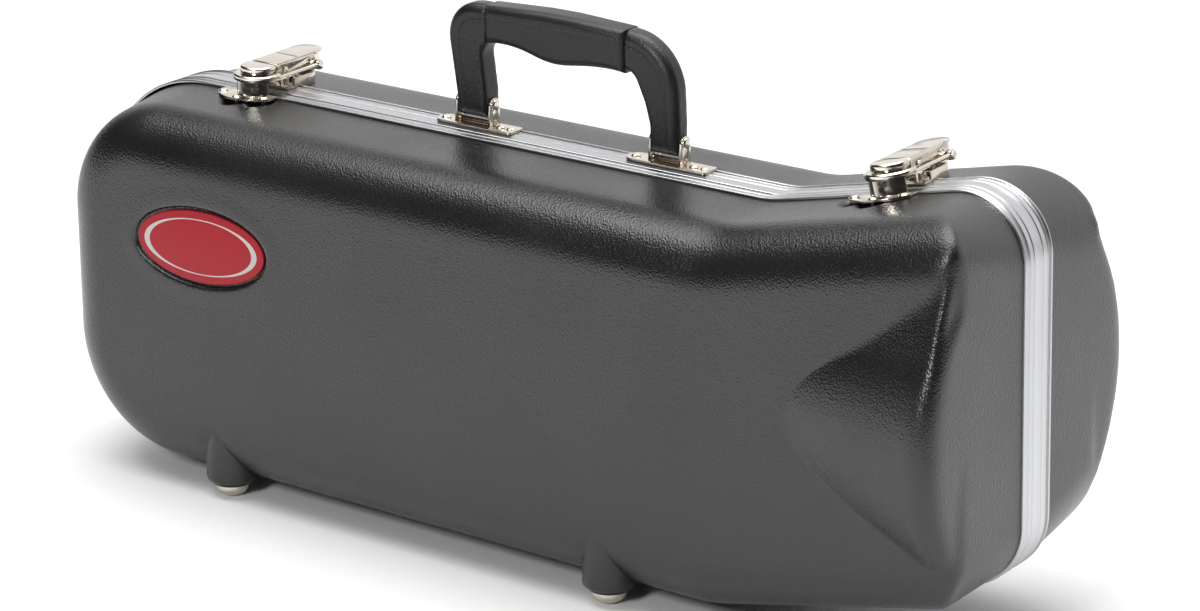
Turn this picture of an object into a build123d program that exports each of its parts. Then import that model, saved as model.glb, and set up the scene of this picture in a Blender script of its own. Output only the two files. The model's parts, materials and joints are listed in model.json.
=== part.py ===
# Trumpet case: two moulded shells in an aluminium valance, hinged along the bottom, with two draw
# latches and a swinging handle on top. Millimetres, +Z up. The case stands on its four feet, the lid
# (front half) faces -Y, the bell end is at +X, and the bell of the instrument lies along X at Y = 0.
import os
from math import cos, radians, sin, tan

from build123d import *

os.makedirs("parts", exist_ok=True)

# ------------------------------------------------------------------ driving dimensions
# side outline of the valance
case_length = 570.0
foot_drop = 6.8  # ground to the underside of the valance
body_height = 196.4  # valance, bottom to top, along the straight stretch
rise_start = 142.4  # X where the bottom and the top turn upwards to the bell end
rise_angle = 12.9  # degrees
end_lean = 1.55  # degrees that the bell end leans inwards at the top
end_belly = 68.0  # height of the widest point of the bell end
tail_low_round = 80.0
tail_high_round = 72.0
bell_low_round = 35.0
bell_high_round = 33.0
kink_round = 60.0

# moulded shells
parting = 6.0  # Y of the plane in which the two halves meet
lid_depth = 76.0  # parting plane to the flat front face
base_depth = 67.0  # parting plane to the flat rear face
wall = 3.2
face_round = 29.0  # rounding between the faces and the sides
side_draft = 1.0  # how much narrower a half is at its face, on each side
tail_draft = 28.0  # the same at the tail end, which slopes in more
end_round = 12.0  # upright edge between the bell end and the face
lid_corners = (0.0, -20.0)  # added to the rounding of the low and the high bell corner, out at the face
base_corners = (30.0, 18.0)

# bell bulge: a cone about the bell axis, with a flat facet up to the top corner
bell_height = 125.0  # bell axis above the ground
lid_bulge = 94.0  # radius at the bell end
base_bulge = 97.5
bulge_taper = 0.27  # radius gained per millimetre along X
bulge_start = 150.0
bulge_round = 8.5
bulge_gap = 1.5  # the cone stops this far short of the widest point of the bell end
facet_touch = 20.0  # degrees round the cone at which the facet leaves it
facet_setback = 4.0
facet_corner_in = 5.0
lid_facet_height = 216.0
base_facet_height = 200.0

# valance
band_width = 25.4
band_skin = 1.2  # flange proud of the shells
web_depth = 5.0  # rib against which the shells' edges seat
tongue_reach = 2.5  # how far the lid's tongue passes the parting plane
tongue_thick = 1.2
rebate_web = 1.6
rebate_gap = 0.3
groove_width = 0.9
groove_depth = 0.5
groove_spacing = 3.9

# rivets and running fits
pin_gap = 0.05
rivet_radius = 1.6
rivet_head = 2.7
rivet_rise = 1.1
rivet_flat = (1.6, 0.95)  # radius and height of the flat on the head
latch_rivets_u = (9.0, 19.5)

# feet
foot_x = (-158.0, 84.75)
front_foot_y = -57.0
rear_foot_y = 50.0
foot_radius = 9.0
foot_height = 6.5
washer_radius = 10.5
washer_height = 2.0
boss_low = 13.5
boss_high = 12.5
boss_top = 40.0
foot_screw = 2.0
foot_screw_reach = 2.6  # into the boss
foot_sole = 4.0  # radius of the flat the case stands on
foot_shoulder = (7.8, 2.0)  # radius and height
foot_rim = 5.8  # height at which the foot reaches its full radius

# badge seat in the front face
badge_x = -163.5
badge_z = 137.6
badge_tilt = 2.5
badge_long = 85.0
badge_short = 38.5
badge_thick = 1.5
badge_margin = 2.6  # flat of the seat round the plate
badge_seat = 2.0  # depth of the seat
badge_chamfer = 0.5
badge_relief = 20.0  # hollow in the insert behind the seat

# hinges, two along the bottom of the valance
hinge_x = (-100.0, 40.0)
hinge_length = 60.0
hinge_drop = 3.6  # hinge line below the valance
knuckle_radius = 2.5
hinge_pin_radius = 1.3
knuckle_count = 5
knuckle_gap = 0.3
leaf_width = 11.0
leaf_thick = 1.0
leaf_rivet_pitch = 22.0
leaf_rivet_in = 8.6  # from the hinge line

# handle, swinging on two pins
handle_y = 12.3
handle_pivot_rise = 12.0  # above the valance
handle_thick = 13.6
handle_pin_radius = 2.0
handle_edge = 2.6
sleeve_left = -36.0
sleeve_right = 49.0
sleeve_thick = 17.0
sleeve_top = 270.0
sleeve_low = 247.4
wave_depth = 3.0
tenon_thick = 10.0  # arch inside the sleeve
tenon_low = 252.0
tenon_high = 265.6
sleeve_gap = 0.1
sleeve_crown = 1.6  # the sleeve's top is this much higher in the middle
sleeve_edge = 4.5
sleeve_wave = (  # along the sleeve, in wave depths
    (0, 0.4),
    (0.15, 0.7),
    (0.3, 0.1),
    (0.42, -0.75),
    (0.52, -1),
    (0.68, -0.5),
    (0.84, -0.1),
    (1, -0.3),
)
tenon_edge = 3.0
leg_low = 200.0
leg_high = 223.0  # the legs are straight up to here, between the ears
arch_outer = ((-63.4, 267.6), (13.0, 269.4), (77.6, 267.6))
arch_outer_rounds = (18, 200, 30)
arch_inner = ((60.5, 234.0), (53.5, 249.0), (-40.0, 249.0))
arch_inner_rounds = (15, 9, 7)
leg_rounds = (12, 40, 12, 12)  # where the legs meet the arch, round from the left outer side
swing_pin_head = 3.2
swing_pin_flat = 2.4
swing_pin_thick = 1.0

# brackets
bracket_plate = 1.2
bracket_width = 12.0
bracket_length = 49.0
bracket_x = (-46.0, 71.7)
leg_width = (19.0, 16.2)
ear_gap = 0.25
ear_thick = 1.2
ear_round = 4.0
ear_foot = 4.8  # half width of the ears at the plate
rod_radius = 1.3
bracket_rivet_x = (-19.8, 14.6, 21.0)
bracket_corner = 1.5
rod_lift = 0.1
play = 0.2  # ends of pins beyond the sheets they pass through

# draw latches: u runs across the valance to the rear, v along it, w away from it
latch_x = (-177.5, 209.0)
lever_pivot_u = 2.5
lever_pivot_w = 10.0
link_pivot_u = 26.0
link_pivot_w = 8.0
latch_pin_radius = 1.5
lever_top = 14.5
latch_sheet = 1.2
lever_half = 8.2  # half width over the lever's cheeks
lever_near = -4.5
tab_u = 28.5
tab_radius = 8.8
rail_v = 11.0
rail_radius = 1.2
eye_radius = 2.6
hook_u = -10.0
hook_radius = 12.6
hook_low = 7.7
hook_thick = 2.8
hook_end = -5.5
cap_u = -9.5
cap_radius = 9.4
cap_skirt = 3.4
tab_slot_u = 13.6
tray_half = 11.0
tray_start = 0.5
tray_end = 30.0
tray_wall = 4.8
ear_v = 5.6  # inner side of the lever's ears
latch_ear_round = 2.9
latch_ear_foot = 2.0  # how much further back the ears reach at the tray
tray_wall_start = 6.5
tray_lap = 0.1  # between the flange of the valance and the tray's thick end
cheek_low = 3.0  # depth of the lever's cheeks below the pins
cheek_past = 4.0  # how far the cheeks pass the link pin
cheek_nose = 2.4  # how far the cheeks pass the lever's pivot pin, low down
cheek_lap = 0.2
cheek_corner = 0.15
slot_width = 1.2
neck_step = 1.2
neck_height = 1.5
hook_chamfer = 0.7
cap_chamfer = 0.8
latch_pin_head = 2.1
latch_pin_thick = 0.8
keeper_half = 17.0
keeper_shift = -2.5  # along the valance
keeper_front = -27.5
keeper_back = -12.9
keeper_side = 6.4  # length of its straight sides
keeper_rivet_v = 13.6
keeper_rivet_u = (-19.0, -24.3)  # outer two, middle one
tower_radius = 11.0
tower_top = 7.3
tower_cut = 4.0  # the tower ends this far in front of the hook's centre

# padded inserts
insert_gap = 0.8  # to the moulded shells
insert_setback = 0.7  # behind the parting plane
flare_start = 60.0
flare_end = 262.0
flare_small = 16.0
flare_large = 66.0
flare_lip = 12.0
throat = (0.55, 1.6)  # share of the flare's length, and radius over the small one
tube_radius = 15.0
pipe_radius = 13.0
pipe_height = 62.0
nest_left = -250.0
nest_bend = -185.0
valve_left = -50.0
valve_right = 40.0
valve_low = 25.0
valve_high = 180.0
valve_half = 26.0
tray_left = -180.0
tray_right = -70.0
tray_low = 150.0
tray_high = 190.0
tray_floor = 50.0  # Y of the bottom of the accessory tray
mouthpiece_wells = ((-225.0, 165.0), (-200.0, 36.0))
well_radius = 14.0
well_floor = 50.0

band_top = foot_drop + body_height
half_band = band_width / 2
handle_pivot = band_top + handle_pivot_rise
hinge_line = foot_drop - hinge_drop


# ------------------------------------------------------------------ outline
def side_lines():
    """A point and a direction for each side of the outline, anticlockwise seen from the front."""
    low, high = foot_drop, foot_drop + body_height
    rise = radians(rise_angle)
    lean = radians(end_lean)
    return [
        ((0.0, low), (1.0, 0.0)),
        ((rise_start, low), (cos(rise), sin(rise))),
        ((case_length / 2, end_belly), (-sin(lean), cos(lean))),
        ((rise_start, high), (-cos(rise), -sin(rise))),
        ((0.0, high), (-1.0, 0.0)),
        ((-case_length / 2, 0.0), (0.0, -1.0)),
    ]


def outline_corners(insets):
    """Corners of the outline with each side moved inwards by its own amount."""
    moved = []
    for ((px, pz), (dx, dz)), inset in zip(side_lines(), insets):
        moved.append(((px - dz * inset, pz + dx * inset), (dx, dz)))
    corners = []
    for index, ((qx, qz), (ex, ez)) in enumerate(moved):
        (px, pz), (dx, dz) = moved[index - 1]
        along = ((qx - px) * ez - (qz - pz) * ex) / (dx * ez - dz * ex)
        corners.append((px + dx * along, pz + dz * along))
    return corners


def case_outline(y, insets, corners=(0.0, 0.0)):
    """Face of the outline at depth y, its roundings smaller where the sides have moved in."""
    rounds = [tail_low_round, kink_round, bell_low_round, bell_high_round, -kink_round, tail_high_round]
    rounds[2] += corners[0]
    rounds[3] += corners[1]
    radii = []
    for index, size in enumerate(rounds):
        inset = (insets[index] + insets[index - 1]) / 2
        radii.append(abs(size - inset))
    with BuildSketch(Plane.XZ.offset(-y)) as outline:
        with BuildLine():
            FilletPolyline(*outline_corners(insets), radius=radii, close=True)
        make_face()
    return outline.sketch


def even(inset):
    """The same inset on all six sides."""
    return [inset] * 6


# ------------------------------------------------------------------ moulded halves
def half_form(side, shrink):
    """Outer form of one half as a solid, shrunk on every side. side is -1 for the lid, 1 for the base."""
    depth = (lid_depth if side < 0 else base_depth) - shrink
    edge = band_skin + shrink
    face_y = parting + side * depth
    run_on = -2 * face_round  # the rounded form runs on past the bell end before it is cut there
    near = [edge, edge, run_on, edge, edge, edge]
    far = [edge + side_draft] * 5 + [edge + tail_draft]
    far[2] = run_on
    with BuildPart() as form:
        add(case_outline(parting, near))
        add(case_outline(face_y, far))
        loft(ruled=True)
        face = form.faces().sort_by(Axis.Y)[0 if side < 0 else -1]
        fillet(face.edges(), radius=face_round - shrink)
        add(end_block(side, edge), mode=Mode.INTERSECT)
        add(upright_round(side, face_y, shrink), mode=Mode.INTERSECT)
        add(bell_bulge(side, shrink))
        add(bell_facet(side, face_y, shrink))
    return form.part


def end_block(side, inset):
    """Block that cuts the bell end; its corners change their rounding towards the face."""
    reach = (lid_bulge if side < 0 else base_bulge) - side * parting
    corners = lid_corners if side < 0 else base_corners
    with BuildPart() as block:
        add(case_outline(parting + side * half_band, even(inset)))
        add(case_outline(parting + side * reach, even(inset), corners))
        loft(ruled=True)
        add(outline_block(side, 0, half_band, inset))
    return block.part


def upright_round(side, face_y, shrink):
    """Upright prism that rounds the edge between the bell end and the face."""
    lean = radians(end_lean)
    end_x = case_length / 2 + end_belly * tan(lean) - band_skin - shrink
    with BuildPart() as prism:
        with BuildSketch() as plan:
            with BuildLine():
                FilletPolyline(
                    (-case_length, 0),
                    (-case_length, face_y),
                    (end_x, face_y),
                    (end_x, 0),
                    radius=[0, end_round - shrink],
                )
                Line((end_x, 0), (-case_length, 0))
            make_face()
        extrude(amount=1.5 * body_height, dir=(-sin(lean), 0, cos(lean)))
    return prism.part


def bulge_sizes(side, shrink):
    """Where the bulge ends, and its radius there and where it starts."""
    end_x = case_length / 2 - band_skin - bulge_gap - shrink
    end_radius = (lid_bulge if side < 0 else base_bulge) - shrink
    return end_x, end_radius, end_radius - bulge_taper * (end_x - bulge_start)


def bell_bulge(side, shrink):
    """The cone that clears the bell."""
    end_x, end_radius, start_radius = bulge_sizes(side, shrink)
    with BuildPart() as bulge:
        with BuildSketch(Plane.XZ) as half_section:
            with BuildLine():
                FilletPolyline(
                    (bulge_start, bell_height),
                    (bulge_start, bell_height + start_radius),
                    (end_x, bell_height + end_radius),
                    (end_x, bell_height),
                    radius=[0, bulge_round - shrink],
                )
                Line((end_x, bell_height), (bulge_start, bell_height))
            make_face()
        revolve(axis=Axis((0, 0, bell_height), (1, 0, 0)))
        add(end_block(side, band_skin + shrink), mode=Mode.INTERSECT)
    return bulge.part


def bell_facet(side, face_y, shrink):
    """Flat facet from the bulge up to the top corner, as a pyramid whose tip lies on the face."""
    end_x, end_radius, start_radius = bulge_sizes(side, shrink)
    touch = radians(facet_touch)
    reach = abs(face_y)
    height = (lid_facet_height if side < 0 else base_facet_height) - shrink
    tip_radius = reach / cos(touch)
    tip_x = end_x - (end_radius - tip_radius) / bulge_taper
    tip = Vertex(tip_x, side * (reach - 1), bell_height + (tip_radius - 1) * sin(touch))
    base_x = end_x - facet_setback
    base_radius = end_radius - bulge_taper * facet_setback - 1
    with BuildPart() as facet:
        with BuildSketch(Plane.YZ.offset(base_x)) as end:
            with BuildLine():
                Polyline(
                    (side * (reach - facet_corner_in - shrink), height),
                    (side * base_radius * cos(touch), bell_height + base_radius * sin(touch)),
                    (side * reach / 2, bell_height),
                    close=True,
                )
            make_face()
        loft(sections=[end.sketch, tip])
    return facet.part


def outline_block(side, start, stop, inset):
    """Solid between two depths from the parting plane, its sides moved in by one inset."""
    with BuildPart() as block:
        add(case_outline(parting + side * start, even(inset)))
        extrude(amount=stop - start, dir=(0, side, 0))
    return block.part


def rim(side, start, stop, outer, inner):
    """Ring that follows the outline between two insets."""
    with BuildPart() as ring:
        add(outline_block(side, start, stop, outer))
        add(outline_block(side, start, stop, inner), mode=Mode.SUBTRACT)
    return ring.part


def save(part, name):
    """Name a finished piece and write it."""
    part.label = name
    export_step(part, f"parts/{name}.step")
    print(name, round(part.volume, 1), part.is_valid, len(part.solids()))


# ------------------------------------------------------------------ rivets
def rivet(shank):
    """Rivet with its head on z = 0 and its shank below."""
    with BuildPart() as one:
        with BuildSketch(Plane.XZ) as half_section:
            with BuildLine():
                Polyline(
                    (0, rivet_rise),
                    (0, -shank),
                    (rivet_radius, -shank),
                    (rivet_radius, 0),
                    (rivet_head, 0),
                    rivet_flat,
                    (0, rivet_rise),
                )
            make_face()
        revolve(axis=Axis.Z)
    return one.part


def rivet_holes(depth):
    """Cutter for one rivet hole, from just above z = 0 downwards."""
    with BuildPart() as cutter:
        with Locations((0, 0, -depth)):
            Cylinder(
                rivet_radius + pin_gap,
                depth + band_skin,
                align=(Align.CENTER, Align.CENTER, Align.MIN),
            )
    return cutter.part


def band_seat(x):
    """Plane on top of the valance at the parting: x along the valance, y to the rear, z away from it."""
    if x < rise_start:
        return Plane((x, parting, band_top), x_dir=(1, 0, 0), z_dir=(0, 0, 1))
    rise = radians(rise_angle)
    height = band_top + (x - rise_start) * tan(rise)
    return Plane((x, parting, height), x_dir=(cos(rise), 0, sin(rise)), z_dir=(-sin(rise), 0, cos(rise)))


def shifted(plane, along, across, up):
    """The same plane moved within its own directions."""
    origin = plane.origin + plane.x_dir * along + plane.y_dir * across + plane.z_dir * up
    return Plane(origin, x_dir=plane.x_dir, z_dir=plane.z_dir)


def at_seats(part, seats):
    """Copies of a part, one on each seat."""
    with BuildPart() as copies:
        for seat in seats:
            with Locations(seat):
                add(part)
    return copies.part


latch_seats = [band_seat(x) for x in latch_x]
through = band_skin + wall  # valance flange and moulded wall together

bracket_rivet_seats = []
for x in bracket_x:
    seat = shifted(band_seat(x), 0, handle_y - parting, bracket_plate)
    for offset in bracket_rivet_x:
        bracket_rivet_seats.append(shifted(seat, offset, 0, 0))

keeper_rivets = (
    (keeper_shift - keeper_rivet_v, keeper_rivet_u[0]),
    (keeper_shift + keeper_rivet_v, keeper_rivet_u[0]),
    (keeper_shift, keeper_rivet_u[1]),
)
tray_rivet_seats = []
keeper_rivet_seats = []
for seat in latch_seats:
    for u in latch_rivets_u:
        tray_rivet_seats.append(shifted(seat, 0, u, latch_sheet))
    for v, u in keeper_rivets:
        keeper_rivet_seats.append(shifted(seat, v, u, 0))

leaf_rivet_seats = {}
for side in (-1, 1):
    leaf_rivet_seats[side] = []
    for x in hinge_x:
        for offset in (-leaf_rivet_pitch, 0, leaf_rivet_pitch):
            origin = (x + offset, parting + side * leaf_rivet_in, foot_drop - leaf_thick)
            leaf_rivet_seats[side].append(Plane(origin, x_dir=(1, 0, 0), z_dir=(0, 0, -1)))

foot_seats = {-1: [], 1: []}
for x in foot_x:
    foot_seats[-1].append((x, front_foot_y, 0))
    foot_seats[1].append((x, rear_foot_y, 0))

# ------------------------------------------------------------------ moulded shells
for side, name in ((-1, "lid"), (1, "base")):
    with BuildPart() as shell:
        add(half_form(side, 0))
        for seat in foot_seats[side]:
            with Locations((seat[0], seat[1], foot_height + washer_height)):
                Cone(
                    boss_low,
                    boss_high,
                    boss_top - foot_height - washer_height,
                    align=(Align.CENTER, Align.CENTER, Align.MIN),
                )
        add(half_form(side, wall), mode=Mode.SUBTRACT)
        add(outline_block(side, -tongue_reach, web_depth, -band_skin), mode=Mode.SUBTRACT)
        with Locations(*foot_seats[side]):
            Cylinder(
                foot_screw + pin_gap,
                2 * (foot_height + washer_height + foot_screw_reach),
                mode=Mode.SUBTRACT,
            )
        add(at_seats(rivet_holes(2 * through), leaf_rivet_seats[side]), mode=Mode.SUBTRACT)
        if side < 0:
            add(at_seats(rivet_holes(2 * through), keeper_rivet_seats), mode=Mode.SUBTRACT)
        else:
            add(at_seats(rivet_holes(2 * through), bracket_rivet_seats), mode=Mode.SUBTRACT)
            add(at_seats(rivet_holes(2 * through), tray_rivet_seats), mode=Mode.SUBTRACT)
    if side < 0:
        lid_shell = shell.part
    else:
        base_shell = shell.part

tilt = radians(badge_tilt)
seat_plane = Plane((badge_x, parting - lid_depth, badge_z), x_dir=(cos(tilt), 0, sin(tilt)), z_dir=(0, -1, 0))
with BuildPart() as seated_lid:
    add(lid_shell)
    with BuildSketch(seat_plane.offset(-wall - badge_seat)):
        Ellipse(badge_long / 2 + badge_margin + wall, badge_short / 2 + badge_margin + wall)
    extrude(amount=badge_seat + 0.5)
    with BuildSketch(seat_plane.offset(-badge_seat)):
        Ellipse(badge_long / 2 + badge_margin, badge_short / 2 + badge_margin)
    with BuildSketch(seat_plane.offset(badge_seat / 4)):
        Ellipse(badge_long / 2 + 1.5 * badge_margin, badge_short / 2 + 1.5 * badge_margin)
    loft(mode=Mode.SUBTRACT)
save(seated_lid.part, "lid_shell")
save(base_shell, "base_shell")

with BuildPart() as badge_plate:
    with BuildSketch(seat_plane.offset(-badge_seat)):
        Ellipse(badge_long / 2, badge_short / 2)
    extrude(amount=badge_thick)
    chamfer(badge_plate.faces().sort_by(Axis.Y)[0].edges(), length=badge_chamfer)
save(badge_plate.part, "badge_plate")

# ------------------------------------------------------------------ valance
for side, name in ((-1, "lid_valance"), (1, "base_valance")):
    with BuildPart() as valance:
        add(rim(side, 0, half_band, 0, band_skin))
        if side < 0:
            tongue = band_skin + rebate_web + rebate_gap
            add(rim(side, 0, web_depth, band_skin, band_skin + wall))
            add(rim(side, -tongue_reach, 0, tongue, tongue + tongue_thick))
        else:
            rebate = tongue_reach + rebate_gap
            add(rim(side, 0, rebate, band_skin, band_skin + rebate_web))
            add(rim(side, rebate, web_depth, band_skin, band_skin + wall))
        for number in (1, 2):
            start = number * groove_spacing
            add(rim(side, start, start + groove_width, -1, groove_depth), mode=Mode.SUBTRACT)
        add(at_seats(rivet_holes(2 * through), leaf_rivet_seats[side]), mode=Mode.SUBTRACT)
        if side > 0:
            add(at_seats(rivet_holes(2 * through), bracket_rivet_seats), mode=Mode.SUBTRACT)
            add(at_seats(rivet_holes(2 * through), tray_rivet_seats), mode=Mode.SUBTRACT)
    save(valance.part, name)

# ------------------------------------------------------------------ feet
with BuildPart() as foot:
    with BuildSketch(Plane.XZ) as half_section:
        with BuildLine():
            Line((0, 0), (foot_sole, 0))
            ThreePointArc((foot_sole, 0), foot_shoulder, (foot_radius, foot_rim))
            Polyline(
                (foot_radius, foot_rim),
                (foot_radius, foot_height),
                (foot_screw, foot_height),
                (foot_screw, foot_height + washer_height + foot_screw_reach),
                (0, foot_height + washer_height + foot_screw_reach),
                (0, 0),
            )
        make_face()
    revolve(axis=Axis.Z)
with BuildPart() as washer:
    with Locations((0, 0, foot_height)):
        Cylinder(washer_radius, washer_height, align=(Align.CENTER, Align.CENTER, Align.MIN))
    Hole(foot_screw + pin_gap)
for side, name in ((-1, "front"), (1, "rear")):
    save(at_seats(foot.part, foot_seats[side]), f"{name}_feet")
    save(at_seats(washer.part, foot_seats[side]), f"{name}_washers")

# ------------------------------------------------------------------ hinges
knuckle_pitch = hinge_length / knuckle_count


def hinge_leaf(side):
    """One leaf centred on X = 0, turning about the X axis, with every other knuckle."""
    first = 0 if side > 0 else 1
    with BuildPart() as leaf:
        with Locations((0, side * (leaf_width + knuckle_gap) / 2, hinge_drop)):
            Box(hinge_length, leaf_width, leaf_thick, align=(Align.CENTER, Align.CENTER, Align.MAX))
        for number in range(first, knuckle_count, 2):
            start = -hinge_length / 2 + number * knuckle_pitch + knuckle_gap / 2
            with BuildSketch(Plane.YZ.offset(start)):
                Circle(knuckle_radius)
                with Locations((side * knuckle_radius, 0)):
                    width = knuckle_radius - hinge_pin_radius
                    Rectangle(width, hinge_drop, align=(Align.MAX if side > 0 else Align.MIN, Align.MIN))
                Circle(hinge_pin_radius + pin_gap, mode=Mode.SUBTRACT)
            extrude(amount=knuckle_pitch - knuckle_gap)
        for offset in (-leaf_rivet_pitch, 0, leaf_rivet_pitch):
            with Locations((offset, side * leaf_rivet_in, hinge_drop)):
                Cylinder(rivet_radius + pin_gap, 4 * leaf_thick, mode=Mode.SUBTRACT)
    return leaf.part


with BuildPart() as hinge_pin:
    Cylinder(hinge_pin_radius, hinge_length + 2, rotation=(0, 90, 0))
hinge_seats = [(x, parting, hinge_line) for x in hinge_x]
for side, half in ((1, "base"), (-1, "lid")):
    leaf = hinge_leaf(side)
    for label, seat in zip(("left", "right"), hinge_seats):
        save(at_seats(leaf, [seat]), f"{label}_hinge_{half}_leaf")
    save(at_seats(rivet(through + leaf_thick), leaf_rivet_seats[side]), f"hinge_{half}_rivets")
save(at_seats(hinge_pin.part, hinge_seats), "hinge_pins")

# ------------------------------------------------------------------ handle
near_face = handle_y - handle_thick / 2
left_out, right_in = (x - width / 2 for x, width in zip(bracket_x, leg_width))
left_in, right_out = (x + width / 2 for x, width in zip(bracket_x, leg_width))
with BuildPart() as handle:
    with BuildSketch(Plane.XZ.offset(-near_face)):
        with BuildLine():
            FilletPolyline(
                (left_out, leg_low),
                (left_out, leg_high - 3),
                *arch_outer,
                (right_out, leg_high + 2),
                (right_out, leg_low),
                (right_in, leg_low),
                (right_in, leg_high),
                *arch_inner,
                (left_in, leg_high),
                (left_in, leg_low),
                close=True,
                radius=[
                    0,
                    leg_rounds[0],
                    *arch_outer_rounds,
                    leg_rounds[1],
                    0,
                    0,
                    leg_rounds[2],
                    *arch_inner_rounds,
                    leg_rounds[3],
                    0,
                ],
            )
        make_face()
    extrude(amount=-handle_thick)
    rounded = handle.faces().sort_by(Axis.Y)
    fillet(rounded[0].edges() + rounded[-1].edges(), radius=handle_edge)
    with BuildSketch(Plane.YZ.offset(-100)):
        with Locations((handle_y, handle_pivot)):
            Circle(handle_thick / 2)
            Rectangle(handle_thick, 100, align=(Align.CENTER, Align.MIN))
    extrude(amount=200, mode=Mode.INTERSECT)
    for x in bracket_x:
        with Locations((x, handle_y, handle_pivot)):
            Cylinder(handle_pin_radius + pin_gap, 60, rotation=(0, 90, 0), mode=Mode.SUBTRACT)


def grip_bar(extra):
    """The straight bar inside the sleeve."""
    height = (tenon_low + tenon_high) / 2
    with BuildPart() as bar:
        with BuildSketch(Plane.YZ.offset(sleeve_left - 1)):
            with Locations((handle_y, height)):
                RectangleRounded(tenon_thick + 2 * extra, tenon_high - tenon_low + 2 * extra, tenon_edge + extra)
        extrude(amount=sleeve_right - sleeve_left + 2)
    return bar.part


with BuildPart() as grip:
    add(handle.part)
    with Locations(((sleeve_left + sleeve_right) / 2, handle_y, tenon_high)):
        Box(sleeve_right - sleeve_left, 3 * handle_thick, 60, mode=Mode.SUBTRACT)
    add(grip_bar(0))
save(grip.part, "handle_grip")

with BuildPart() as sleeve:
    with BuildSketch(Plane.XZ.offset(-(handle_y - sleeve_thick / 2))):
        span = sleeve_right - sleeve_left - 2 * sleeve_gap
        start = sleeve_left + sleeve_gap
        with BuildLine():
            Spline(*[(start + along * span, sleeve_low + rise * wave_depth) for along, rise in sleeve_wave])
            Polyline(
                (start + span, sleeve_low + sleeve_wave[-1][1] * wave_depth),
                (start + span, sleeve_top - sleeve_crown),
                (start + 0.6 * span, sleeve_top),
                (start + 0.4 * span, sleeve_top),
                (start, sleeve_top - sleeve_crown),
                (start, sleeve_low + sleeve_wave[0][1] * wave_depth),
            )
        make_face()
    extrude(amount=-sleeve_thick)
    outer = sleeve.faces().sort_by(Axis.Y)
    fillet(outer[0].edges() + outer[-1].edges(), radius=sleeve_edge)
    add(grip_bar(sleeve_gap), mode=Mode.SUBTRACT)
save(sleeve.part, "grip_sleeve")


# ------------------------------------------------------------------ brackets
def bracket(width):
    """Handle bracket centred on X = 0 and standing on z = 0, for a leg of this width."""
    pivot = handle_pivot_rise
    ear_x = width / 2 + ear_gap
    with BuildPart() as piece:
        with BuildSketch():
            RectangleRounded(bracket_length, bracket_width, bracket_corner)
            with Locations((-bracket_length / 2, 0)):
                Rectangle(bracket_width / 2, bracket_width, align=(Align.MIN, Align.CENTER), mode=Mode.SUBTRACT)
            with Locations((-bracket_length / 2 + bracket_width / 2, 0)):
                Circle(bracket_width / 2)
        extrude(amount=bracket_plate)
        for start in (ear_x, -ear_x - ear_thick):
            with BuildSketch(Plane.YZ.offset(start)):
                with BuildLine():
                    Polyline(
                        (-ear_foot, 0),
                        (-ear_round, pivot),
                        (ear_round, pivot),
                        (ear_foot, 0),
                        close=True,
                    )
                make_face()
                with Locations((0, pivot)):
                    Circle(ear_round)
            extrude(amount=ear_thick)
        with Locations((0, 0, pivot)):
            Cylinder(handle_pin_radius + pin_gap, bracket_length, rotation=(0, 90, 0), mode=Mode.SUBTRACT)
        with Locations((0, 0, bracket_plate + rod_radius + rod_lift)):
            Cylinder(rod_radius + pin_gap, bracket_length, rotation=(0, 90, 0), mode=Mode.SUBTRACT)
        with Locations(*[(offset, 0) for offset in bracket_rivet_x]):
            Cylinder(rivet_radius + pin_gap, 6 * bracket_plate, mode=Mode.SUBTRACT)
    return piece.part


def handle_pin(width):
    """Headed pin along X through a leg and both ears."""
    reach = width / 2 + ear_gap + ear_thick + play
    with BuildPart() as pin:
        with BuildSketch(Plane.XZ) as half_section:
            with BuildLine():
                Polyline(
                    (-reach - swing_pin_thick, 0),
                    (-reach - swing_pin_thick, swing_pin_flat),
                    (-reach, swing_pin_head),
                    (-reach, handle_pin_radius),
                    (reach, handle_pin_radius),
                    (reach, swing_pin_head),
                    (reach + swing_pin_thick, swing_pin_flat),
                    (reach + swing_pin_thick, 0),
                    close=True,
                )
            make_face()
        revolve(axis=Axis.X)
    return pin.part


with BuildPart() as handle_pins:
    for x, width in zip(bracket_x, leg_width):
        with Locations((x, handle_y, handle_pivot)):
            add(handle_pin(width))
save(handle_pins.part, "handle_pins")
with BuildPart() as rods:
    for x, width in zip(bracket_x, leg_width):
        with Locations((x, handle_y, band_top + bracket_plate + rod_radius + rod_lift)):
            Cylinder(rod_radius, width + 2 * (ear_gap + ear_thick + 2 * play), rotation=(0, 90, 0))
save(rods.part, "bracket_rods")
for label, x, width in zip(("left", "right"), bracket_x, leg_width):
    seat = shifted(band_seat(x), 0, handle_y - parting, 0)
    save(at_seats(bracket(width), [seat]), f"{label}_bracket")
save(at_seats(rivet(through + bracket_plate), bracket_rivet_seats), "bracket_rivets")


# ------------------------------------------------------------------ draw latches
# Built in the latch's own frame: x along the valance, y to the rear, z away from the valance.
def cheek(x, thick, points, holes, round_up=0.0):
    """Plate standing across the latch at x, with the given outline and pin holes."""
    with BuildPart() as plate:
        with BuildSketch(Plane.YZ.offset(x)):
            with BuildLine():
                FilletPolyline(*points, close=True, radius=round_up)
            make_face()
            with Locations(*holes):
                Circle(latch_pin_radius + pin_gap, mode=Mode.SUBTRACT)
        extrude(amount=thick)
    return plate.part


pivot = (lever_pivot_u, lever_pivot_w)
link_pivot = (link_pivot_u, link_pivot_w)

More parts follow.
